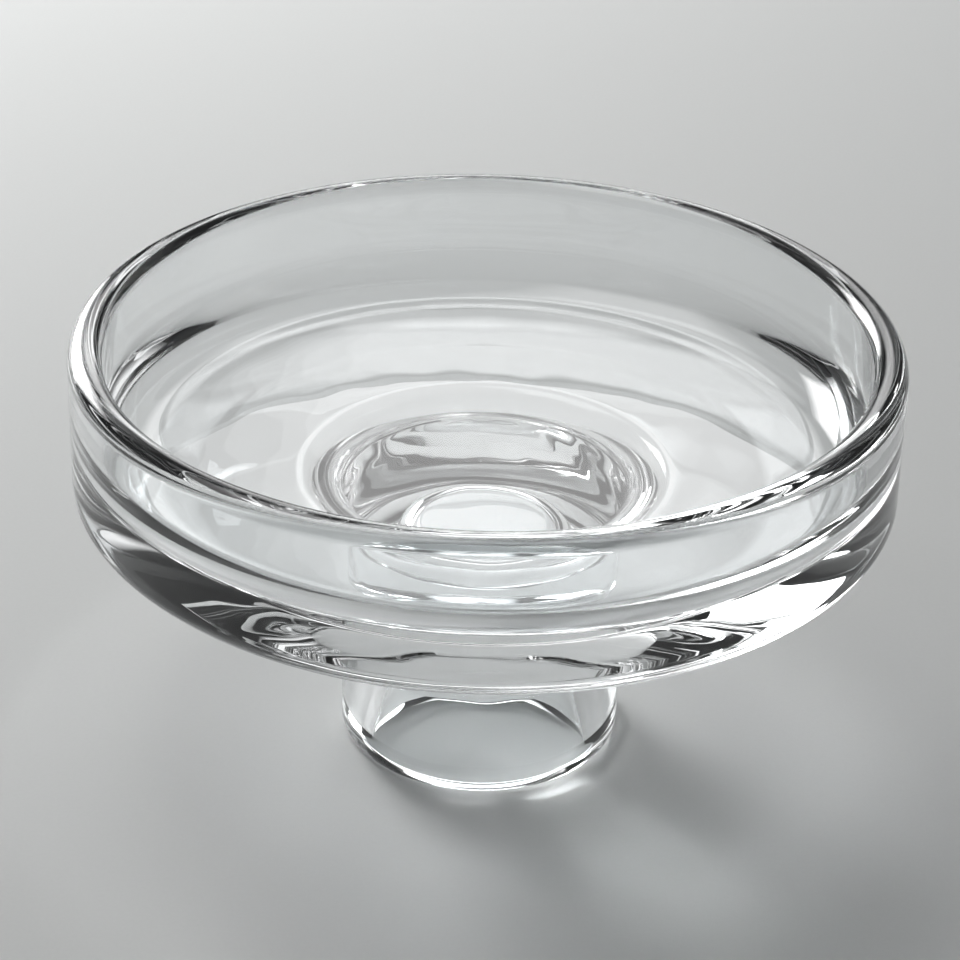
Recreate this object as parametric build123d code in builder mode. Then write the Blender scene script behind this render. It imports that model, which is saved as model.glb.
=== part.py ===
"""Floating candle bowl: a low clear-glass bowl bonded to a hollow cylindrical glass foot.

Millimetres. The origin is the centre of the foot's base, on the table, and +Z is up along the axis of
the bowl. Every piece is a solid of revolution about that axis.
"""

import math
import os

from build123d import *

# Bowl
bowl_diameter = 136.0  # outside of the wall
wall_thickness = 5.6  # straight wall, closed at the top by a full-round rim
bowl_depth = 20.6  # rim top down to the floor
floor_thickness = 11.1  # floor down to the underside at the foot of the outer corner
floor_fillet = 10.0  # sweep from the floor up into the wall
corner_width = 21.0  # soft outer corner: quarter ellipse, across
corner_height = 8.2  # soft outer corner: quarter ellipse, up
underside_rise = 1.2  # shallow hollow cone of the underside, from the corner in to the line of the foot's wall
flare_radius = 7.5  # underside sweeps down into the boss that carries the foot
boss_land = 0.5  # straight stretch of the boss below the flare

# Foot, an upside-down cup
foot_diameter = 47.4
foot_height = 35.2
base_round = 3.0  # outer edge that meets the table
hollow_diameter = 34.0  # at the table, open at the bottom
hollow_depth = 18.0
hollow_draft = 10.5  # degrees that the hollow's wall leans in, left by the pressing plunger
hollow_end_radius = 4.0  # rounded end of the hollow
mouth_round = 3.0  # inner edge that meets the table

# Bond between the boss and the foot, wiped flush with both
bond_thickness = 0.15

# Sizes that follow
bowl_radius = bowl_diameter / 2
cavity_radius = bowl_radius - wall_thickness
rim_radius = wall_thickness / 2
foot_radius = foot_diameter / 2
hollow_radius = hollow_diameter / 2
hollow_end = hollow_radius - hollow_depth * math.tan(math.radians(hollow_draft))

corner_start = bowl_radius - corner_width
underside_slope = math.atan2(underside_rise, corner_start - foot_radius)
flare_reach = flare_radius / math.tan((math.pi / 2 - underside_slope) / 2)

boss_z = foot_height + bond_thickness
flare_z = boss_z + boss_land + flare_reach
underside_z = flare_z - underside_rise
floor_z = underside_z + floor_thickness
rim_z = floor_z + bowl_depth
rim_start_z = rim_z - rim_radius

os.makedirs("parts", exist_ok=True)

# Bowl: floor, swept corner, wall, full-round rim, soft outer corner, hollow underside, flared boss
with BuildPart() as bowl:
    with BuildSketch(Plane.XZ):
        with BuildLine():
            FilletPolyline(
                (0, floor_z),
                (cavity_radius, floor_z),
                (cavity_radius, rim_start_z),
                radius=[floor_fillet],
            )
            ThreePointArc(
                (cavity_radius, rim_start_z),
                (cavity_radius + rim_radius, rim_z),
                (bowl_radius, rim_start_z),
            )
            Line((bowl_radius, rim_start_z), (bowl_radius, underside_z + corner_height))
            EllipticalCenterArc(
                (corner_start, underside_z + corner_height),
                corner_width,
                corner_height,
                start_angle=270,
                arc_size=90,
            )
            FilletPolyline(
                (corner_start, underside_z),
                (foot_radius, flare_z),
                (foot_radius, boss_z),
                radius=[flare_radius],
            )
            Polyline((foot_radius, boss_z), (0, boss_z), (0, floor_z))
        make_face()
    revolve(axis=Axis.Z)

# Foot: thick wall with a rounded base round a tapered hollow, closed at the top where it is bonded
with BuildPart() as foot:
    with BuildSketch(Plane.XZ):
        with BuildLine():
            FilletPolyline(
                (foot_radius, foot_height),
                (foot_radius, 0),
                (hollow_radius, 0),
                (hollow_end, hollow_depth),
                (0, hollow_depth),
                radius=[base_round, mouth_round, hollow_end_radius],
            )
            Polyline((0, hollow_depth), (0, foot_height), (foot_radius, foot_height))
        make_face()
    revolve(axis=Axis.Z)

# Bond film: cured clear adhesive over the whole of the joint
with BuildPart() as bond_film:
    with BuildSketch(Plane.XY.offset(foot_height)):
        Circle(foot_radius)
    extrude(amount=bond_thickness)

bowl.part.label = "bowl"
foot.part.label = "foot"
bond_film.part.label = "bond_film"

export_step(bowl.part, "parts/bowl.step")
export_step(foot.part, "parts/foot.step")
export_step(bond_film.part, "parts/bond_film.step")
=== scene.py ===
import math

import bpy
import numpy as np
from mathutils import Matrix, Vector


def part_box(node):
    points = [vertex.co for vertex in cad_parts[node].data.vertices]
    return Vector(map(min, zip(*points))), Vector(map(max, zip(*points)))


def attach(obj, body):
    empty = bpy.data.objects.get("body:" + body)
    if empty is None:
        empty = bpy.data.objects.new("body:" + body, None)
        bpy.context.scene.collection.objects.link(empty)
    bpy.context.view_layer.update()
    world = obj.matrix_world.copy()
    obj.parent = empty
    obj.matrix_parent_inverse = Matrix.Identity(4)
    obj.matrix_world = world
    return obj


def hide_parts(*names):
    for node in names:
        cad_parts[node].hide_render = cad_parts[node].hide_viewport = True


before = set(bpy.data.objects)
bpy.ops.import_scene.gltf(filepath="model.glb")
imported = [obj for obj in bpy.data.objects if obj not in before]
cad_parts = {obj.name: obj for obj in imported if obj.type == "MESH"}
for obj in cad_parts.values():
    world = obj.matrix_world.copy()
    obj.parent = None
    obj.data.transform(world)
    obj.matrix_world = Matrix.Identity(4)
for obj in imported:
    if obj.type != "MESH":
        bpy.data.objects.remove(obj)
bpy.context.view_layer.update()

# Foot: a thick-walled cylinder of clear pressed glass, closed at the top. Its hollow narrows upwards, as the
# plunger left it, and its base is fire-polished round and finely scuffed by use. The wall below the joint,
# which the photograph doesn't show directly, is taken to be a little uneven.
foot_low, foot_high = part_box("foot")
foot_radius = foot_high.x
foot_top = foot_high.z
base_round = 0.0030
mouth_round = 0.0030
hollow_radius = 0.0170
hollow_depth = 0.0180
hollow_draft = 10.5
hollow_end_radius = 0.0040
hollow_end = hollow_radius - hollow_depth * math.tan(math.radians(hollow_draft))
section_step = 0.0012
arc_step = 3.2
turn_steps = 380


def run(start, stop):
    """Points of a straight stretch of a section, evenly spaced, both ends included."""
    length = math.dist(start, stop)
    return np.linspace(start, stop, max(2, math.ceil(length / section_step) + 1))


def arc(centre, across, up, start, stop):
    """Points of an arc of a circle or ellipse: centre + (across cos t, up sin t), t in even steps."""
    t = np.radians(np.linspace(start, stop, math.ceil(abs(stop - start) / arc_step) + 1))
    return np.stack([centre[0] + across * np.cos(t), centre[1] + up * np.sin(t)], axis=1)


def chain(*stretches):
    """One section from stretches that follow on: each drops its first point, which ends the one before."""
    return np.concatenate([stretches[0]] + [stretch[1:] for stretch in stretches[1:]])


def rounded(corners):
    """Section through corners (r, z, rounding): straight runs joined by arcs that are tangent to both.

    With unit directions p and q from a corner to its neighbours and h half the angle between them, the arc
    of radius k starts k / tan h along p, ends as far along q, and has its centre k / sin h along p + q.
    """
    stretches = []
    reached = np.array(corners[0][:2])
    for before, corner, after in zip(corners, corners[1:], corners[2:]):
        middle = np.array(corner[:2])
        sides = np.array([before[:2], after[:2]]) - middle
        sides /= np.linalg.norm(sides, axis=1, keepdims=True)
        half = math.acos(sides[0] @ sides[1]) / 2
        bisector = sides.sum(axis=0) / np.linalg.norm(sides.sum(axis=0))
        centre = middle + bisector * corner[2] / math.sin(half)
        touch = middle + sides * corner[2] / math.tan(half) - centre
        start, stop = np.degrees(np.arctan2(touch[:, 1], touch[:, 0]))
        stop = start + (stop - start + 180) % 360 - 180
        stretches.append(run(reached, centre + touch[0]))
        stretches.append(arc(centre, corner[2], corner[2], start, stop))
        reached = centre + touch[1]
    stretches.append(run(reached, corners[-1][:2]))
    return chain(*stretches)


def ripple(place, waves):
    """Sum of plane waves in [-1, 1]: the mean of sin(2 pi k.p + phase) over rows (kx, ky, kz, phase)."""
    phases = place @ waves[:, :3].T * 2 * np.pi + waves[:, 3]
    return np.sin(phases).mean(axis=-1)


def turn(name, section, ripples, joint_heights):
    """Surface of revolution of a section that starts and ends on the axis, sunk by ripples.

    A point (r, z) at angle a stands at (r cos a, r sin a, z). It then moves into the glass, along the
    section's normal, by depth (1 + ripple) / 2 for each pair of depths and waves, so the piece never leaves
    its nominal form. The two ends become single poles. Level faces at the joint heights take the second
    material and are not smoothed.
    """
    angle = np.arange(turn_steps) * 2 * np.pi / turn_steps
    along = np.gradient(section, axis=0)
    normal = np.stack([-along[:, 1], along[:, 0]], axis=1)
    normal /= np.linalg.norm(normal, axis=1, keepdims=True)
    normal[[0, -1], 0] = 0
    spoke = np.stack([np.cos(angle), np.sin(angle), np.zeros_like(angle)], axis=1)
    axis = np.array([0.0, 0.0, 1.0])
    place = section[:, None, :1] * spoke + section[:, None, 1:] * axis
    outward = normal[:, None, :1] * spoke + normal[:, None, 1:] * axis
    sink = sum(depth[:, None] * (1 + ripple(place, waves)) / 2 for depth, waves in ripples)
    place = place - sink[:, :, None] * outward
    rings = len(section)
    vertices = np.concatenate([place[1:-1].reshape(-1, 3), place[:1, 0], place[-1:, 0]])
    ring = np.arange(rings - 3)[:, None] * turn_steps
    step = np.arange(turn_steps)
    after = (step + 1) % turn_steps
    below = ring + turn_steps
    quads = np.stack([ring + step, below + step, below + after, ring + after], axis=-1)
    first_pole, last_pole = len(vertices) - 2, len(vertices) - 1
    last_ring = (rings - 3) * turn_steps
    cap_in = np.stack([np.full(turn_steps, first_pole), step, after], axis=1)
    cap_out = np.stack([np.full(turn_steps, last_pole), last_ring + after, last_ring + step], axis=1)
    mesh = bpy.data.meshes.new(name)
    mesh.from_pydata(vertices, [], cap_in.tolist() + quads.reshape(-1, 4).tolist() + cap_out.tolist())
    height = section[:, 1:]
    at_joint = np.isclose(height, np.array(joint_heights), rtol=0, atol=1e-7).any(axis=1)
    level = np.isclose(height[:-1, 0], height[1:, 0], rtol=0, atol=1e-7)
    joint = np.repeat(level & at_joint[:-1] & at_joint[1:], turn_steps)
    mesh.polygons.foreach_set("use_smooth", ~joint)
    mesh.polygons.foreach_set("material_index", joint.astype(np.int32))
    mesh.update()
    piece = bpy.data.objects.new(name, mesh)
    bpy.context.scene.collection.objects.link(piece)
    return piece


class Socket:
    """A shader output that takes part in Python arithmetic: every operator adds one Math node."""

    def __init__(self, finish, output):
        self.finish = finish
        self.output = output

    def math(self, operation, first, second):
        return self.finish.node("ShaderNodeMath", {"operation": operation}, {0: first, 1: second})

    def __add__(self, other):
        return self.math("ADD", self, other)

    def __rsub__(self, other):
        return self.math("SUBTRACT", other, self)

    def __mul__(self, other):
        return self.math("MULTIPLY", self, other)


class Finish:
    """A procedural material, built node by node round its Principled shader."""

    def __init__(self, name):
        self.material = bpy.data.materials.new(name)
        self.material.use_nodes = True
        self.nodes = self.material.node_tree.nodes
        self.links = self.material.node_tree.links
        self.shader = self.nodes["Principled BSDF"]

    def fill(self, node, values):
        for key, value in values.items():
            if isinstance(value, Socket):
                self.links.new(value.output, node.inputs[key])
            else:
                node.inputs[key].default_value = value

    def node(self, kind, settings, values, output=0):
        node = self.nodes.new(kind)
        for key, value in settings.items():
            setattr(node, key, value)
        self.fill(node, values)
        return Socket(self, node.outputs[output])

    def place(self):
        return self.node("ShaderNodeTexCoord", {}, {}, "Object")

    def noise(self, place, scale, detail):
        values = {"Vector": place, "Scale": scale, "Detail": detail}
        return self.node("ShaderNodeTexNoise", {}, values, "Fac")

    def between(self, value, low, high):
        """0 below low, 1 above high, eased between."""
        eased = {"interpolation_type": "SMOOTHSTEP"}
        values = {"Value": value, "From Min": low, "From Max": high}
        return self.node("ShaderNodeMapRange", eased, values)

    def mix(self, factor, first, second):
        """First colour where the factor is 0, second where it is 1; sockets 6 and 7 are the colours."""
        values = {0: factor, 6: (*first, 1), 7: (*second, 1)}
        return self.node("ShaderNodeMix", {"data_type": "RGBA"}, values, 2)


glass_ior = 1.52
glass_clear = (0.978, 0.994, 1.0)
glass_faint = (0.960, 0.982, 0.993)
smear_scale = 45
smear_from, smear_to = 0.55, 0.8
smear_rough = 0.008
scuff_scale = 2600
scuff_from, scuff_to = 0.35, 0.65
scuff_height = 0.00008
scuff_least, scuff_more = 0.05, 0.25


def clear_glass(name, scuffed):
    """Colourless glass: a faint uneven tint, wiped smears and, if asked, a finely scuffed base."""
    finish = Finish(name)
    place = finish.place()
    smear = finish.between(finish.noise(place, smear_scale, 3.0), smear_from, smear_to)
    rough = smear * smear_rough
    if scuffed:
        height = finish.node("ShaderNodeSeparateXYZ", {}, {"Vector": place}, "Z")
        scratches = finish.between(finish.noise(place, scuff_scale, 4.0), scuff_from, scuff_to)
        at_base = 1 - finish.between(height, 0.0, scuff_height)
        rough = rough + at_base * (scratches * scuff_more + scuff_least)
    finish.fill(finish.shader, {
        "Base Color": finish.mix(smear, glass_clear, glass_faint),
        "Roughness": rough,
        "Transmission Weight": 1.0,
        "IOR": glass_ior,
    })
    return finish.material


def clear_joint():
    """The wetted faces of the bond: glass, film and glass are one body there, so light goes straight on."""
    finish = Finish("clear_joint")
    finish.fill(finish.shader, {"Base Color": (1, 1, 1, 1), "Alpha": 0.0})
    return finish.material


joint_finish = clear_joint()
foot_section = rounded([
    (0, foot_top, 0),
    (foot_radius, foot_top, 0),
    (foot_radius, 0, base_round),
    (hollow_radius, 0, mouth_round),
    (hollow_end, hollow_depth, hollow_end_radius),
    (0, hollow_depth, 0),
])
foot_ripple = 0.00006
foot_waves = np.array([
    [40.0, 12.0, 22.0, 0.3],
    [-18.0, 44.0, 31.0, 1.9],
    [25.0, -33.0, 55.0, 4.1],
])
joint_clear = 0.001
foot_rise = [0.0, 0.004, foot_top - 0.006, foot_top - joint_clear]
foot_depth = np.interp(foot_section[:, 1], foot_rise, [0, 1, 1, 0])
uneven_ripple = 0.00025
uneven_waves = np.array([
    [95.0, 60.0, 45.0, 0.9],
    [-70.0, 110.0, -60.0, 3.7],
    [120.0, -40.0, 85.0, 5.2],
    [35.0, 130.0, 70.0, 2.0],
])
on_wall = foot_section[:, 0] > 0.995 * foot_radius
uneven_rise = [0.014, 0.022, foot_top - 0.004, foot_top - joint_clear]
uneven = np.interp(foot_section[:, 1], uneven_rise, [0, 1, 1, 0])
foot_ripples = [
    (foot_depth * foot_ripple, foot_waves),
    (on_wall * uneven * uneven_ripple, uneven_waves),
]
foot = turn("foot_glass_body", foot_section, foot_ripples, [foot_top])
foot.data.materials.append(clear_glass("foot_glass", scuffed=True))
foot.data.materials.append(joint_finish)
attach(foot, "root")
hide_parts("foot")

# Bond film: a hair-thin layer of clear cured adhesive over the whole of the joint, wiped flush at its edge,
# where it shows as a fine line at most.
film_low, film_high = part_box("bond_film")
film_section = rounded([
    (0, film_high.z, 0),
    (foot_radius, film_high.z, 0),
    (foot_radius, film_low.z, 0),
    (0, film_low.z, 0),
])
film_depth = np.zeros(len(film_section))
film = turn("bond_film_layer", film_section, [(film_depth, foot_waves)], [film_low.z, film_high.z])
film.data.materials.append(clear_glass("clear_bond", scuffed=False))
film.data.materials.append(joint_finish)
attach(film, "root")
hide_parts("bond_film")

# Bowl: clear glass pressed and fire-polished, with a straight wall, a full-round rim, a thick floor that
# sweeps up into the wall, and a shallow hollow underside that flares into the boss carrying the foot.
bowl_low, bowl_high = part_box("bowl")
bowl_radius = bowl_high.x
rim_top = bowl_high.z
boss_z = bowl_low.z
wall = 0.0056
bowl_depth = 0.0206
floor_thickness = 0.0111
floor_fillet = 0.0100
corner_width = 0.0210
corner_height = 0.0082
underside_rise = 0.0012
flare_radius = 0.0075
cavity_radius = bowl_radius - wall
rim_radius = wall / 2
rim_start = rim_top - rim_radius
floor_z = rim_top - bowl_depth
underside_z = floor_z - floor_thickness
corner_start = bowl_radius - corner_width
cloud_reach = 0.034
cloud_end = 0.050
cloud_ripple = 0.00004
inside_section = rounded([
    (0, floor_z + cloud_ripple / 2, 0),
    (cloud_reach, floor_z + cloud_ripple / 2, 0),
    (cloud_end, floor_z, 0),
    (cavity_radius, floor_z, floor_fillet),
    (cavity_radius, rim_start, 0),
])
outside_section = chain(
    arc((cavity_radius + rim_radius, rim_start), rim_radius, rim_radius, 180, 0),
    run((bowl_radius, rim_start), (bowl_radius, underside_z + corner_height)),
    arc((corner_start, underside_z + corner_height), corner_width, corner_height, 0, -90),
    rounded([
        (corner_start, underside_z, 0),
        (foot_radius, underside_z + underside_rise, flare_radius),
        (foot_radius, boss_z, 0),
        (0, boss_z, 0),
    ]),
)
bowl_section = chain(inside_section, outside_section)
wall_ripple = 0.00006
smooth_reach = 0.008
swirl_ripple = 0.00004
wall_waves = np.array([
    [31.0, 22.0, 9.0, 0.4],
    [-27.0, 41.0, 15.0, 2.2],
    [52.0, -14.0, 21.0, 5.0],
    [-11.0, -58.0, 12.0, 3.3],
    [66.0, 37.0, -8.0, 1.1],
    [-84.0, 30.0, 18.0, 0.7],
])
cloud_waves = np.array([
    [46.0, 62.0, 0.0, 0.4],
    [-71.0, 33.0, 0.0, 2.6],
    [88.0, -35.0, 0.0, 4.4],
    [-24.0, -97.0, 0.0, 1.3],
    [60.0, 104.0, 0.0, 5.6],
    [-118.0, 52.0, 0.0, 3.0],
])
swirl_waves = np.array([
    [60.0, 30.0, 130.0, 0.2],
    [-40.0, 70.0, 170.0, 2.9],
    [85.0, -45.0, 110.0, 4.6],
    [-110.0, 80.0, 90.0, 1.7],
])
reach, rise = bowl_section.T
within = np.arange(len(bowl_section)) < len(inside_section)
cloud_depth = within * np.interp(reach, [cloud_reach, cloud_end], [cloud_ripple, 0.0])
wall_depth = np.interp(rise, [rim_start - smooth_reach, rim_start], [wall_ripple, 0.0])
near_joint = np.interp(rise, [boss_z + 0.0005, boss_z + 0.0025], [0.0, 1.0])
near_foot = np.interp(reach, [foot_radius + 0.009, foot_radius + 0.016], [1.0, 0.0])
swirl_depth = ~within * near_joint * near_foot * swirl_ripple
bowl_ripples = [
    (cloud_depth, cloud_waves),
    (wall_depth * near_joint, wall_waves),
    (swirl_depth, swirl_waves),
]
bowl = turn("bowl_glass_body", bowl_section, bowl_ripples, [boss_z])
bowl.data.materials.append(clear_glass("bowl_glass", scuffed=False))
bowl.data.materials.append(joint_finish)
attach(bowl, "root")
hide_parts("bowl")

# Table: a wide sheet of pale grey paper, not part of the bowl.
table_reach = 3.0
table_mesh = bpy.data.meshes.new("table")
table_mesh.from_pydata(
    [
        (-table_reach, -table_reach, 0),
        (table_reach, -table_reach, 0),
        (table_reach, table_reach, 0),
        (-table_reach, table_reach, 0),
    ],
    [],
    [(0, 1, 2, 3)],
)
table = bpy.data.objects.new("table", table_mesh)
bpy.context.scene.collection.objects.link(table)
paper = Finish("grey_paper")
paper_dark = (0.645, 0.656, 0.651)
paper_pale = (0.675, 0.686, 0.681)
grain_scale = 1400
grain = paper.noise(paper.place(), grain_scale, 3.0)
paper.fill(paper.shader, {
    "Base Color": paper.mix(grain, paper_dark, paper_pale),
    "Roughness": 0.75,
    "Specular IOR Level": 0.2,
})
table_mesh.materials.append(paper.material)

# Light: soft panels behind to the left, straight behind, overhead to the left and, weakly, to the right, in
# a dark room.
aim = Vector((0.0, 0.0, 0.04))
panel_sheets = np.linspace(0.7, 1.3, 7)
sheet_gap = 0.004


def panel(name, azimuth, elevation, distance, width, height, radiance):
    """A rectangular light that faces the bowl; azimuth turns from +Y towards +X, in degrees.

    It is a stack of sheets, 0.7 to 1.3 of its size, that share the radiance, so that its edge fades.
    """
    a, e = math.radians(azimuth), math.radians(elevation)
    towards = Vector((math.sin(a) * math.cos(e), math.cos(a) * math.cos(e), math.sin(e)))
    for count, share in enumerate(panel_sheets):
        light = bpy.data.lights.new(f"{name}_{count}", "AREA")
        light.shape = "RECTANGLE"
        light.size = width * share
        light.size_y = height * share
        light.energy = radiance / len(panel_sheets) * math.pi * light.size * light.size_y
        lamp = bpy.data.objects.new(f"{name}_{count}", light)
        bpy.context.scene.collection.objects.link(lamp)
        lamp.location = aim + towards * (distance + count * sheet_gap)
        lamp.rotation_euler = towards.to_track_quat("Z", "Y").to_euler()
        lamp.visible_camera = False


panel("key_panel", -34, 17, 1.05, 0.41, 0.50, 16.0)
panel("back_panel", 3, 27, 1.0, 0.37, 0.54, 2.8)
panel("top_panel", -65, 68, 0.78, 0.52, 0.42, 2.8)
panel("right_panel", 90, 18, 0.75, 0.34, 0.40, 1.0)
room = bpy.data.worlds.new("dark_room")
room.use_nodes = True
room_colour = (0.015, 0.015, 0.0155, 1)
room.node_tree.nodes["Background"].inputs["Color"].default_value = room_colour
bpy.context.scene.world = room

# Camera: a long lens from in front and above, level to within the photograph's slight tilt.
camera_back = 0.46635
camera_up = 0.30207
pitch = 0.4999
yaw = -0.0018
roll = 0.0259
focal_px = 3200
frame_px = 960
sensor_mm = 36.0
forward = Vector((math.sin(yaw) * math.cos(pitch), math.cos(yaw) * math.cos(pitch), -math.sin(pitch)))
level = Vector((math.cos(yaw), -math.sin(yaw), 0))
upright = level.cross(forward)
right = math.cos(roll) * level + math.sin(roll) * upright
above = math.cos(roll) * upright - math.sin(roll) * level
lens = bpy.data.cameras.new("camera")
lens.sensor_width = sensor_mm
lens.lens = focal_px / frame_px * sensor_mm
camera = bpy.data.objects.new("camera", lens)
bpy.context.scene.collection.objects.link(camera)
turned = Matrix((right, above, -forward)).transposed()
camera.matrix_world = Matrix.Translation((0, -camera_back, camera_up)) @ turned.to_4x4()
bpy.context.scene.camera = camera
bpy.context.scene.view_settings.view_transform = "Standard"
bpy.context.scene.cycles.blur_glossy = 0.0
bpy.context.scene.cycles.max_bounces = 32
bpy.context.scene.cycles.transmission_bounces = 32
bpy.context.scene.cycles.glossy_bounces = 16
bpy.context.scene.cycles.transparent_max_bounces = 64
